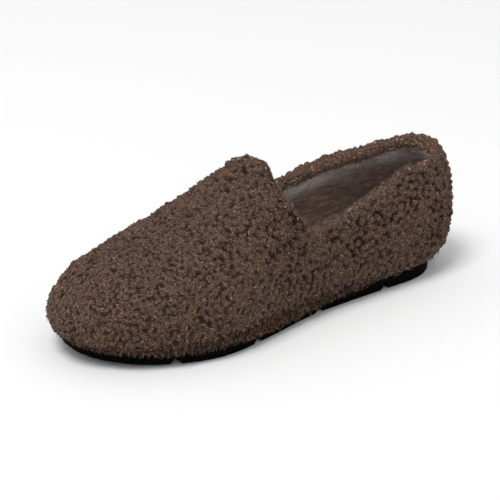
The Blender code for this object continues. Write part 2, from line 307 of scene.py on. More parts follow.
@dataclass(frozen=True)
class GroundFinish:
    """The knitted ground under the pile, with painted shade in the valleys between the tufts, and the short
    fur of the lining on its inner side, with a painted grey sheen near the collar.
    """

    # crevice colour: painted shade deep in the valleys between the tufts
    deep: Colour = (0.013, 0.0077, 0.0057)
    curl: Colour = (0.055, 0.0317, 0.0223)
    light: Colour = (0.160, 0.095, 0.067)
    lining_dark: Colour = (0.225, 0.155, 0.123)
    lining_pale: Colour = (0.420, 0.318, 0.270)
    # pale grey of the painted sheen on the lining near the collar's rim
    lining_bloom: Colour = (0.780, 0.740, 0.723)
    sheen: Colour = (0.7, 0.6, 0.54)
    swirl: Noise = (900.0, 4.0)
    streak: Noise = (420.0, 4.0, (1.6, 0.22, 1.2))
    frost: Noise = (60.0, 3.0, (1.0, 0.4, 1.0))
    relief: Pair = (0.8, 0.8 * MM)
    crest_ends: Pair = (0.38, 0.66)
    pile_ends: Pair = (0.12, 0.80)
    fur_ends: Pair = (0.35, 0.68)
    frost_ends: Pair = (0.20, 0.60)

    def material(self) -> Material:
        """Makes the material.

        Returns:
            The material.
        """
        tree = ShaderTree("pile_ground")
        inside = tree.attribute("lining")
        rise = tree.attribute("rise")
        swirl = tree.noise(*self.swirl)
        crest = tree.mix(swirl.between(*self.crest_ends), self.curl, self.light)
        # Painted shade: the ground darkens away from the tufts' crowns, into the valleys between them.
        pile = tree.mix((rise + swirl * 0.5 - 0.25).between(*self.pile_ends), self.deep, crest)
        streak = tree.noise(*self.streak)
        fur = tree.mix(streak.between(*self.fur_ends), self.lining_dark, self.lining_pale)
        # Painted sheen: grey patches on the lining near the rim, where the mask marked on the upper asks for
        # it.
        frost = tree.attribute("painted_sheen") * tree.noise(*self.frost).between(*self.frost_ends)
        fur = tree.mix(frost, fur, self.lining_bloom)
        return tree.finish({
            "Base Color": tree.mix(inside, pile, fur),
            "Roughness": 0.9 - 0.12 * streak,
            "Normal": tree.bump((1.0 - inside) * swirl + inside * streak, *self.relief),
            "Specular IOR Level": 0.2,
            "Sheen Weight": 0.08,
            "Sheen Roughness": 0.5,
            "Sheen Tint": self.sheen,
        })


@dataclass(frozen=True)
class FurFinish:
    """Short combed fur of the lining and the footbed, with painted shade at the roots and a painted grey
    sheen on the tips where the fibres' glint mask asks for it.
    """

    name: str
    dark: Colour = (0.235, 0.163, 0.131)
    pale: Colour = (0.490, 0.372, 0.315)
    # pale grey of the painted sheen on the fur's tips
    painted_sheen: Colour = (0.850, 0.811, 0.794)
    sheen: Colour = (0.80, 0.76, 0.74)
    lock: Noise = (95.0, 3.0, (1.0, 0.35, 1.0))
    grain: Noise = (2600.0, 2.0)
    relief: Pair = (0.3, 0.1 * MM)
    root_ends: Pair = (0.0, 0.8)
    frost_ends: Pair = (0.2, 0.6)

    def material(self) -> Material:
        """Makes the material.

        Returns:
            The material.
        """
        tree = ShaderTree(self.name)
        rise = tree.attribute("rise")
        shade = tree.attribute("shade")
        lock = tree.noise(*self.lock)
        tone = (shade * 0.55 + lock * 0.9 - 0.3).between(0.0, 1.0)
        # Painted shade: the fur darkens towards its roots.
        fur = tree.mix(tone * rise.between(*self.root_ends), self.dark, self.pale)
        # Painted sheen: grey patches on the tips, where the glint mask lies.
        frost = tree.attribute("glint") * lock.between(*self.frost_ends)
        return tree.finish({
            "Base Color": tree.mix(frost * rise, fur, self.painted_sheen),
            "Roughness": 0.62 - 0.16 * shade,
            "Normal": tree.bump(tree.noise(*self.grain), *self.relief),
            "Specular IOR Level": 0.35,
            "Sheen Weight": 0.35,
            "Sheen Roughness": 0.4,
            "Sheen Tint": self.sheen,
        })


@dataclass(frozen=True)
class RubberFinish:
    """Black moulded rubber with a fine grain, a ribbed tread and a little dust."""

    black: Colour = (0.0016, 0.0016, 0.0017)
    dust: Colour = (0.0060, 0.0055, 0.0050)
    grain: Noise = (2600.0, 3.0)
    scuff: Noise = (70.0, 5.0)
    ribs: Noise = (95.0, (0.35, 1.0, 1.0), 3.0, 40.0)
    studs: float = 210.0
    relief: Pair = (0.55, 0.6 * MM)
    under_ends: Pair = (0.80, 0.97)
    scuff_ends: Pair = (0.48, 0.75)
    stud_ends: Pair = (0.25, 0.62)

    def material(self) -> Material:
        """Makes the material.

        Returns:
            The material.
        """
        tree = ShaderTree("sole_rubber")
        under = tree.facing_down().between(*self.under_ends)
        grain = tree.noise(*self.grain)
        scuff = tree.noise(*self.scuff).between(*self.scuff_ends)
        ribs = tree.waves(*self.ribs)
        studs = tree.cells(self.studs).between(*self.stud_ends)
        relief = grain * 0.12 + under * (studs * 0.6 + ribs * 0.35)
        worn = scuff * (0.25 + under * 0.75)
        return tree.finish({
            "Base Color": tree.mix(worn, self.black, self.dust),
            "Roughness": 0.56 + 0.16 * grain + 0.14 * worn,
            "Normal": tree.bump(relief, *self.relief),
            "Specular IOR Level": 0.02,
        })


@dataclass(frozen=True)
class FloorFinish:
    """Plain pale studio floor."""

    pale: Colour = (0.93, 0.93, 0.93)
    cloud: Colour = (0.91, 0.91, 0.91)
    clouds: Noise = (3.0, 3.0)

    def material(self) -> Material:
        """Makes the material."""
        tree = ShaderTree("studio_floor")
        colour = tree.mix(tree.noise(*self.clouds), self.pale, self.cloud)
        return tree.finish({"Base Color": colour, "Roughness": 0.9, "Specular IOR Level": 0.1})


class Bench:
    """Small jobs at the modelling bench, done with Blender's operators."""

    @staticmethod
    def clear_selection() -> None:
        """Deselects every object."""
        bpy.ops.object.select_all(action="DESELECT")

    @classmethod
    def take(cls, piece: Piece) -> None:
        """Makes one object the selected and active one."""
        cls.clear_selection()
        piece.select_set(True)
        bpy.context.view_layer.objects.active = piece

    @classmethod
    def copy_of(cls, node: Node, name: str) -> Piece:
        """A copy of a solid's mesh with its loose triangles merged.

        Args:
            node: The solid.
            name: The copy's name.

        Returns:
            The new object, at the origin.
        """
        piece = bpy.data.objects.new(name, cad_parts[node.value].data.copy())
        piece.data.name = name
        piece.data.materials.clear()
        bpy.context.scene.collection.objects.link(piece)
        cls.take(piece)
        bpy.ops.mesh.customdata_custom_splitnormals_clear()
        bpy.ops.object.mode_set(mode="EDIT")
        bpy.ops.mesh.select_all(action="SELECT")
        bpy.ops.mesh.remove_doubles(threshold=MERGE_DISTANCE)
        bpy.ops.mesh.tris_convert_to_quads(face_threshold=QUAD_LIMIT, shape_threshold=QUAD_LIMIT)
        bpy.ops.object.mode_set(mode="OBJECT")
        bpy.ops.object.shade_smooth()
        return piece

    @classmethod
    def finish_with(cls, piece: Piece, kind: str, settings: dict[str, Any]) -> None:
        """Adds one modifier and applies it.

        Args:
            piece: The object.
            kind: The modifier's type.
            settings: The modifier's properties.
        """
        cls.take(piece)
        modifier = piece.modifiers.new(kind.lower(), kind)
        for key, setting in settings.items():
            setattr(modifier, key, setting)
        bpy.ops.object.modifier_apply(modifier=modifier.name)

    @staticmethod
    def rows(elements: Any, key: str) -> Array:
        """A vector property of a mesh's elements.

        Args:
            elements: Vertices, polygons or normals.
            key: The property.

        Returns:
            One row per element.
        """
        found = np.empty(len(elements) * 3, np.float32)
        elements.foreach_get(key, found)
        return found.reshape(-1, 3).astype(float)

    @classmethod
    def places(cls, mesh: Mesh) -> Array:
        """Vertex places as an array of rows."""
        return cls.rows(mesh.vertices, "co")

    @classmethod
    def normals(cls, mesh: Mesh) -> Array:
        """Vertex normals as an array of rows."""
        return cls.rows(mesh.vertex_normals, "vector")

    @staticmethod
    def move(mesh: Mesh, places: Array) -> None:
        """Puts the vertices in new places."""
        mesh.vertices.foreach_set("co", places.astype(np.float32).ravel())
        mesh.update()

    @staticmethod
    def mark(mesh: Mesh, marks: dict[str, Array]) -> None:
        """Stores attributes by name, with one number per vertex."""
        for name, values in marks.items():
            mesh.attributes.new(name, "FLOAT", "POINT").data.foreach_set("value", values.astype(np.float32))

    @staticmethod
    def declare(piece: Piece, node: Node, slot: Slot, material: Material) -> None:
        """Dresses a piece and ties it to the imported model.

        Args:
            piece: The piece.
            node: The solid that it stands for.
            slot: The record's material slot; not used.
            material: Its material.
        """
        piece.data.materials.clear()
        piece.data.materials.append(material)
        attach(piece, "root")
        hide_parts(node.value)
        LOG.info("%s: %d polygons", piece.name, len(piece.data.polygons))


def tree_of(points: Iterable[Any]) -> KDTree:
    """A search tree of points.

    Args:
        points: The points.

    Returns:
        The tree, which gives back the points' numbers.
    """
    listed = list(points)
    tree = KDTree(len(listed))
    for number, point in enumerate(listed):
        tree.insert(point, number)
    tree.balance()
    return tree


def nearest_in(tree: KDTree, points: Array) -> list[int]:
    """Number of the tree's point that is nearest to each of some points."""
    return [tree.find(point)[1] for point in points]


def unit(rows: Array) -> Array:
    """Rows scaled to length one."""
    return rows / np.maximum(np.linalg.norm(rows, axis=-1, keepdims=True), 1e-12)


def step(values: Array, low: float, high: float) -> Array:
    """Smooth step from 0 at low to 1 at high."""
    share = np.clip((values - low) / (high - low), 0.0, 1.0)
    return share * share * (3.0 - 2.0 * share)


@dataclass(frozen=True)
class Crease:
    """A soft trough with a ridge on each side, along points of length share and girth angle; sizes in mm."""

    points: tuple[Pair, ...]
    depth: float
    width: float
    ridge: float = 0.35

    def mirrored(self) -> "Crease":
        """The same crease on the other side of the shoe."""
        return Crease(tuple((share, 180.0 - angle) for share, angle in self.points), self.depth, self.width)

    def depth_at(self, share: Array, angle: Array, length: float, radius: float) -> Array:
        """How far the surface sinks.

        Args:
            share: Share of the length from the heel, per vertex.
            angle: Girth angle in degrees, 0 at the lateral hem and 180 at the medial, per vertex.
            length: Length of the upper.
            radius: Mean girth radius.

        Returns:
            Depth in metres, negative on the ridges.
        """
        scale = np.array([length, math.radians(1.0) * radius])
        line = np.array(self.points, float) * scale
        here = np.stack([share, angle], 1) * scale
        nearest = np.full(len(share), np.inf)
        for start, stop in zip(line[:-1], line[1:]):
            along = stop - start
            part = np.clip(((here - start) @ along) / (along @ along), 0.0, 1.0)
            nearest = np.minimum(nearest, np.linalg.norm(here - start - part[:, None] * along, axis=1))
        width = self.width * MM
        trough = np.exp(-((nearest / width) ** 2))
        shoulder = np.exp(-(((nearest - 2.0 * width) / width) ** 2))
        return self.depth * MM * (trough - self.ridge * shoulder)


@dataclass(frozen=True)
class Plump:
    """A place where the pile is fuller or flatter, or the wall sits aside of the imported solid, in mm."""

    place: Place
    height: float | Place
    reach: float

    def height_at(self, places: Array) -> Array:
        """How far each point is moved, in metres, in columns."""
        away = np.linalg.norm(places - np.array(self.place) * MM, axis=1, keepdims=True) / (self.reach * MM)
        return np.array(self.height) * MM * np.exp(-(away**2))


SIDE_CREASES = (
    Crease(((0.545, 66.0), (0.580, 50.0), (0.600, 34.0)), 0.9, 4.5),
    Crease(((0.440, 20.0), (0.420, 34.0), (0.425, 48.0)), 0.9, 5.0),
    Crease(((0.150, 18.0), (0.125, 38.0), (0.120, 56.0)), 0.9, 5.0),
)


@dataclass
class Upper:
    """The hollow upper: the knitted ground that carries the pile outside and the lining inside."""

    levels: int = 2
    ground_inset: float = 1.7 * MM
    hem_inset: float = 0.6 * MM
    roll_insets: Pair = (-0.6 * MM, 1.9 * MM)
    roll_middle: float = 12.0 * MM
    lip_width: float = 12.0 * MM
    lining_inset: float = 0.5 * MM
    roll_width: float = 3.0 * MM
    roll_blend: float = 1.5 * MM
    collar_ends: Pair = (4.0 * MM, 9.0 * MM)
    out_ends: Pair = (-0.25, 0.15)
    rim_low: float = 45.0 * MM
    rim_front: float = -22.0 * MM
    hem_top: float = 20.0 * MM
    hem_low: float = 11.0 * MM
    floor_ends: Pair = (0.45, 0.8)
    floor_blend: float = 3.0 * MM
    axis_height: float = 35.0 * MM
    axis_ends: Pair = (-80.0 * MM, 90.0 * MM)
    girth_radius: float = 45.0 * MM
    girth_height: float = 12.0 * MM
    # Where the painted grey sheen lies on the lining: its reach from the rim, and its strength along the
    # shoe.
    bloom_ends: Pair = (8.0 * MM, 19.0 * MM)
    bloom_from: Pair = (20.0 * MM, 70.0 * MM)
    bloom_share: Pair = (0.70, 1.0)
    plumps: tuple[Plump, ...] = (
        Plump((-12.0, -10.0, 91.0), -2.2, 9.0),
        Plump((-25.0, 60.0, 65.0), 1.4, 46.0),
        Plump((0.0, 133.0, 66.0), 3.6, 20.0),
        Plump((0.0, -136.0, 24.0), 1.0, 26.0),
        Plump((-25.0, -130.0, 36.0), -0.8, 18.0),
        Plump((-15.0, -137.0, 17.0), 0.8, 12.0),
    )
    pull: Plump = Plump((4.0, -8.0, 91.0), (0.0, 2.8, 1.4), 14.0)
    fringe_shares: tuple[float, ...] = (0.00, 0.15, 0.26, 0.38, 0.50, 0.60, 0.70, 0.82, 0.92, 1.00)
    fringe_mm: tuple[float, ...] = (-1.0, -1.0, 0.0, 1.3, 3.4, 2.4, 1.0, 1.5, 1.2, 0.4)
    creases: tuple[Crease, ...] = (
        Crease(((0.705, 32.0), (0.725, 62.0), (0.730, 92.0), (0.715, 122.0), (0.700, 146.0)), 1.0, 5.0),
        Crease(((0.645, 40.0), (0.655, 70.0), (0.655, 100.0), (0.645, 132.0)), 0.7, 4.5),
        *(crease for side in SIDE_CREASES for crease in (side, side.mirrored())),
    )

    def outwardness(self, places: Array, normals: Array) -> Array:
        """How far surface points face away from the line down the middle of the shoe.

        Args:
            places: The points.
            normals: Their normals.

        Returns:
            A number from -1 to 1 for each point.
        """
        middle = np.zeros_like(places)
        middle[:, 1] = np.clip(places[:, 1], *self.axis_ends)
        middle[:, 2] = self.axis_height
        return (unit(places - middle) * normals).sum(1)

    def rim_tree(self, mesh: Mesh) -> KDTree:
        """The collar's edge, where outside meets inside.

        Args:
            mesh: The upper's mesh.

        Returns:
            A tree of points along the edge.
        """
        out = self.outwardness(Bench.rows(mesh.polygons, "center"), Bench.rows(mesh.polygons, "normal")) > 0.0
        sides: dict[tuple[int, int], list[bool]] = {}
        for polygon in mesh.polygons:
            for edge in polygon.edge_keys:
                sides.setdefault(edge, []).append(bool(out[polygon.index]))
        rim = [edge for edge, found in sides.items() if len(found) == 2 and found[0] != found[1]]
        middles = [(mesh.vertices[a].co + mesh.vertices[b].co) / 2 for a, b in rim]
        return tree_of(point for point in middles if point.z > self.rim_low and point.y > self.rim_front)

    @staticmethod
    def length() -> float:
        """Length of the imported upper."""
        low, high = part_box(Node.UPPER.value)
        return high[1] - low[1]

    @classmethod
    def share_of(cls, places: Array) -> Array:
        """Share of the upper's length from the heel at each point."""
        return (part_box(Node.UPPER.value)[1][1] - places[:, 1]) / cls.length()

    def fringe_at(self, places: Array) -> Array:
        """How far the pile hangs over the sole's edge at each point, most at the waist."""
        return np.interp(self.share_of(places), self.fringe_shares, np.array(self.fringe_mm) * MM)

    def crease_depth(self, places: Array) -> Array:
        """Depth of all creases together.

        Args:
            places: Points on the upper.

        Returns:
            Depth in metres at each point.
        """
        share = self.share_of(places)
        angle = np.degrees(np.arctan2(places[:, 2] - self.girth_height, places[:, 0]))
        return sum(crease.depth_at(share, angle, self.length(), self.girth_radius) for crease in self.creases)

    def build(self) -> Piece:
        """Models the ground from a copy of the hollow solid.

        Returns:
            The upper's ground.
        """
        piece = Bench.copy_of(Node.UPPER, "upper_ground")
        Bench.finish_with(piece, "SUBSURF", {"levels": self.levels, "render_levels": self.levels})
        places = Bench.places(piece.data)
        normals = Bench.normals(piece.data)
        out = step(self.outwardness(places, normals), *self.out_ends)
        rim = self.rim_tree(piece.data)
        reach = np.array([rim.find(point)[2] for point in places])
        roll = 1.0 - step(reach, self.roll_width - self.roll_blend, self.roll_width + self.roll_blend)
        above = step(places[:, 2], self.hem_low, self.hem_top)
        outer = self.hem_inset + (self.ground_inset - self.hem_inset) * above
        lip = 1.0 - step(reach, 0.0, self.lip_width)
        lateral = step(places[:, 0], -self.roll_middle, self.roll_middle)
        rolled = self.roll_insets[0] * (1.0 - lateral) + self.roll_insets[1] * lateral
        outer = outer * (1.0 - lip) + rolled * lip
        inner = self.lining_inset * (1.0 - roll) + rolled * roll
        low = 1.0 - step(places[:, 2], self.hem_low, self.hem_low + self.floor_blend)
        floor_side = step(-normals[:, 2], *self.floor_ends) * low
        sink = (outer * out + inner * (1.0 - out)) * (1.0 - floor_side)
        sink = sink + self.crease_depth(places) * out * above * (1.0 - roll)
        sink = sink - np.maximum(out, roll) * sum(plump.height_at(places)[:, 0] for plump in self.plumps)
        moved = places - normals * sink[:, None] + self.pull.height_at(places)
        moved[:, 2] -= self.fringe_at(places) * out * (1.0 - above)
        Bench.move(piece.data, moved)
        # Painted sheen mask: strongest at the collar's rim, fading inward, and fuller towards the heel.
        along = np.interp(places[:, 1], self.bloom_from, self.bloom_share)
        Bench.mark(piece.data, {
            "lining": (1.0 - out) * (1.0 - roll),
            "painted_sheen": (1.0 - step(reach, *self.bloom_ends)) * along,
            "outside": np.maximum(out, roll) * (1.0 - floor_side),
            "roll": roll,
            "out": out,
            "collar": 1.0 - step(reach, *self.collar_ends),
        })
        Bench.declare(piece, Node.UPPER, Slot.PILE, GroundFinish().material())
        return piece


@dataclass
class Skin:
    """The triangles of a piece's surface, for setting fibres on it."""

    piece: Piece
    tries: int = 26

    def __post_init__(self) -> None:
        """Reads the piece's mesh."""
        mesh = self.piece.data
        mesh.calc_loop_triangles()
        self.places = Bench.places(mesh)
        self.normals = Bench.normals(mesh)
        corners = np.empty(len(mesh.loop_triangles) * 3, np.int32)
        mesh.loop_triangles.foreach_get("vertices", corners)
        self.corners = corners.reshape(-1, 3)
        first, second, third = (self.places[self.corners[:, i]] for i in range(3))
        self.area = np.linalg.norm(np.cross(second - first, third - first), axis=1) / 2

    def attribute(self, name: str) -> Array:
        """A point attribute of the piece.

        Args:
            name: The attribute's name.

        Returns:
            One number per vertex.
        """
        found = np.empty(len(self.places), np.float32)
        self.piece.data.attributes[name].data.foreach_get("value", found)
        return found.astype(float)

    def scatter(self, weight: Array, count: int, rng: Rng) -> tuple[Array, Array]:
        """Random points on the surface.

        Args:
            weight: How likely each vertex's neighbourhood is.
            count: How many points.
            rng: The random numbers.

        Returns:
            The points and their normals.
        """
        chance = self.area * weight[self.corners].mean(1)
        chosen = rng.choice(len(chance), count, p=chance / chance.sum())
        first, second = np.sqrt(rng.random(count)), rng.random(count)
        shares = np.stack([1.0 - first, first * (1.0 - second), first * second], 1)[:, :, None]
        points = (self.places[self.corners[chosen]] * shares).sum(1)
        normals = unit((self.normals[self.corners[chosen]] * shares).sum(1))
        return points, normals

    def spread(
        self, weight: Array, spacing: float, scale: Callable[[Array], Array], rng: Rng
    ) -> tuple[Array, Array]:
        """Points that keep a distance from each other.

        Args:
            weight: How likely each vertex's neighbourhood is.
            spacing: The distance.
            scale: Scales the distance at each of some points.
            rng: The random numbers.

        Returns:
            The points and their normals.
        """
        area = float((self.area * weight[self.corners].mean(1)).sum())
        points, normals = self.scatter(weight, int(self.tries * area / spacing**2), rng)
        cells: dict[tuple[int, int, int], list[int]] = {}
        gaps = spacing * scale(points)
        keys = np.floor(points / gaps.max()).astype(int)
        kept: list[int] = []
        around = [(i, j, k) for i in (-1, 0, 1) for j in (-1, 0, 1) for k in (-1, 0, 1)]
        for number, (x, y, z) in enumerate(keys.tolist()):
            near = [n for i, j, k in around for n in cells.get((x + i, y + j, z + k), ())]
            if near and ((points[near] - points[number]) ** 2).sum(1).min() < gaps[number] ** 2:
                continue
            cells.setdefault((x, y, z), []).append(number)
            kept.append(number)
        kept = self.settle(points, kept)
        return points[kept], normals[kept]

    @staticmethod
    def settle(points: Array, kept: list[int]) -> list[int]:
        """Moves each kept point to the middle of the points that lie nearest to it.

        Args:
            points: All points.
            kept: Numbers of the kept points.

        Returns:
            Numbers of the points that take their places.
        """
        owner = np.array(nearest_in(tree_of(points[kept]), points))
        middles = np.stack([np.bincount(owner, points[:, axis], len(kept)) for axis in range(3)], 1)
        middles /= np.bincount(owner, minlength=len(kept))[:, None]
        return nearest_in(tree_of(points), middles)


@dataclass
class Strands:
    """Many tapered three-sided fibres that are joined into one mesh."""

    lines: Array
    lean: Array
    girth: Array
    shade: Array
    rise: Array
    glint: Array

    def part(self, chosen: Array) -> "Strands":
        """The fibres that a mask chooses."""
        return Strands(*(getattr(self, field.name)[chosen] for field in fields(self)))

    def rings(self, thinned: float = 0.45) -> Array:
        """Places the vertices of every fibre.

        Args:
            thinned: How much of its girth a fibre loses at its ends.

        Returns:
            A tip, rings of three and a tip for each fibre.
        """
        along = unit(np.gradient(self.lines, axis=1))
        across = unit(self.lean[:, None] - along * (along * self.lean[:, None]).sum(2, keepdims=True))
        over = np.cross(along, across)
        taper = 1.0 - thinned * np.abs(np.linspace(-1.0, 1.0, self.lines.shape[1])) ** 3
        radius = (self.girth[:, None] * taper)[:, 1:-1, None]
        turned = [math.radians(120.0 * corner) for corner in range(3)]
        middle = np.stack([
            self.lines[:, 1:-1] + radius * (math.cos(turn) * across[:, 1:-1] + math.sin(turn) * over[:, 1:-1])
            for turn in turned
        ], 2)
        middle = middle.reshape(len(self.lines), -1, 3)
        return np.concatenate([self.lines[:, :1], middle, self.lines[:, -1:]], 1)

    def faces(self) -> tuple[list[tuple[int, ...]], list[list[Pair]]]:
        """Faces of one fibre and the map corners of each.

        Returns:
            Vertex numbers of each face, and its corners' shares along and around the fibre.
        """
        steps = self.lines.shape[1] - 1
        last = 3 * (steps - 1) + 1
        corners: list[tuple[int, ...]] = []
        shares: list[list[Pair]] = []
        for side in range(3):
            other = (side + 1) % 3
            around = {side: side / 3, other: (side + 1) / 3}
            tip = sum(around.values()) / 2
            starts = range(1, last - 3, 3)
            quads = [(here + side, here + other, here + 3 + other, here + 3 + side) for here in starts]
            for face in [(1 + other, 1 + side, 0), *quads, (last - 3 + side, last - 3 + other, last)]:
                corners.append(face)
                shares.append([
                    ((v + 2) // 3 / steps, tip if v in (0, last) else around[(v - 1) % 3]) for v in face
                ])
        return corners, shares

    def build(self, name: str) -> Piece:
        """Joins the fibres into one mesh with its own map, one cell per fibre.

        Args:
            name: The piece's name.

        Returns:
            The piece.
        """
        rings = self.rings()
        total, each = rings.shape[:2]
        corners, shares = self.faces()
        sizes = np.array([len(face) for face in corners])
        flat = np.concatenate([np.array(face) for face in corners])
        loops = (flat[None] + each * np.arange(total)[:, None]).ravel()
        starts = np.concatenate([[0], np.cumsum(np.tile(sizes, total))[:-1]])
        mesh = bpy.data.meshes.new(name)
        mesh.vertices.add(total * each)
        mesh.vertices.foreach_set("co", rings.astype(np.float32).ravel())
        mesh.loops.add(len(loops))
        mesh.loops.foreach_set("vertex_index", loops.astype(np.int32))
        mesh.polygons.add(len(starts))
        mesh.polygons.foreach_set("loop_start", starts.astype(np.int32))
        mesh.polygons.foreach_set("use_smooth", np.ones(len(starts), bool))
        mesh.update(calc_edges=True)
        mesh.validate()
        columns = max(1, round(math.sqrt(total / MAP_ASPECT)))
        rows = math.ceil(total / columns)
        cell = np.stack([np.arange(total) % columns, np.arange(total) // columns], 1)
        inner = np.concatenate([np.array(face) for face in shares]) * (1.0 - 2.0 * MAP_MARGIN) + MAP_MARGIN
        spots = (cell[:, None] + inner[None]) / np.array([columns, rows])
        mesh.uv_layers.new(name=BAKE_MAP).uv.foreach_set("vector", spots.astype(np.float32).ravel())
        widths = [1, *[3] * (self.lines.shape[1] - 2), 1]
        Bench.mark(mesh, {
            "rise": np.repeat(self.rise, widths, axis=1).ravel(),
            "shade": np.repeat(self.shade, each),
            "glint": np.repeat(self.glint, each),
        })
        piece = bpy.data.objects.new(name, mesh)
        bpy.context.scene.collection.objects.link(piece)
        return piece


@dataclass(frozen=True)
class ShortFur:
    """Short combed fur, as on the lining, the footbed and the hem."""

    name: str
    node: Node
    slot: Slot
    count: int
    seed: int
    finish: CurlFinish | FurFinish
    length: Pair = (3.2 * MM, 5.2 * MM)
    girth: Pair = (0.09 * MM, 0.16 * MM)
    comb: Place = (0.0, -1.0, -0.35)
    stand: float = 0.32
    stand_range: Pair = (0.5, 1.5)
    strays: float = 0.28
    bend: float = 0.25
    sunk: float = 0.2 * MM
    root_rise: float = 0.1
    rings: int = 4

    def build(self, skin: Skin, weight: Array, painted_sheen: Array) -> None:
        """Sets the fur on a surface.

        Args:
            skin: The surface.
            weight: Where the fur stands, per vertex.
            painted_sheen: Where painted grey sheen lies on its tips, per vertex.
        """
        rng = np.random.default_rng(self.seed)
        roots, normals = skin.scatter(weight, self.count, rng)
        comb = np.array(self.comb) + rng.normal(0.0, self.strays, (self.count, 3))
        flow = unit(comb - normals * (comb * normals).sum(1, keepdims=True))
        share = np.linspace(0.0, 1.0, self.rings)[None, :, None]
        length = rng.uniform(*self.length, self.count)[:, None, None]
        stand = (self.stand * rng.uniform(*self.stand_range, self.count))[:, None, None]
        bend = rng.normal(0.0, self.bend, (self.count, 1, 1)) * np.cross(normals, flow)[:, None]
        lines = roots[:, None] + length * (
            share * flow[:, None] + stand * np.sqrt(share) * normals[:, None] + bend * share**2
        ) - self.sunk * normals[:, None]
        fibres = Strands(
            lines=lines,
            lean=normals,
            girth=rng.uniform(*self.girth, self.count),
            shade=rng.random(self.count),
            rise=np.repeat(np.linspace(self.root_rise, 1.0, self.rings)[None], self.count, axis=0),
            glint=painted_sheen[nearest_in(tree_of(skin.places), roots)],
        )
        Bench.declare(fibres.build(self.name), self.node, self.slot, self.finish.material())


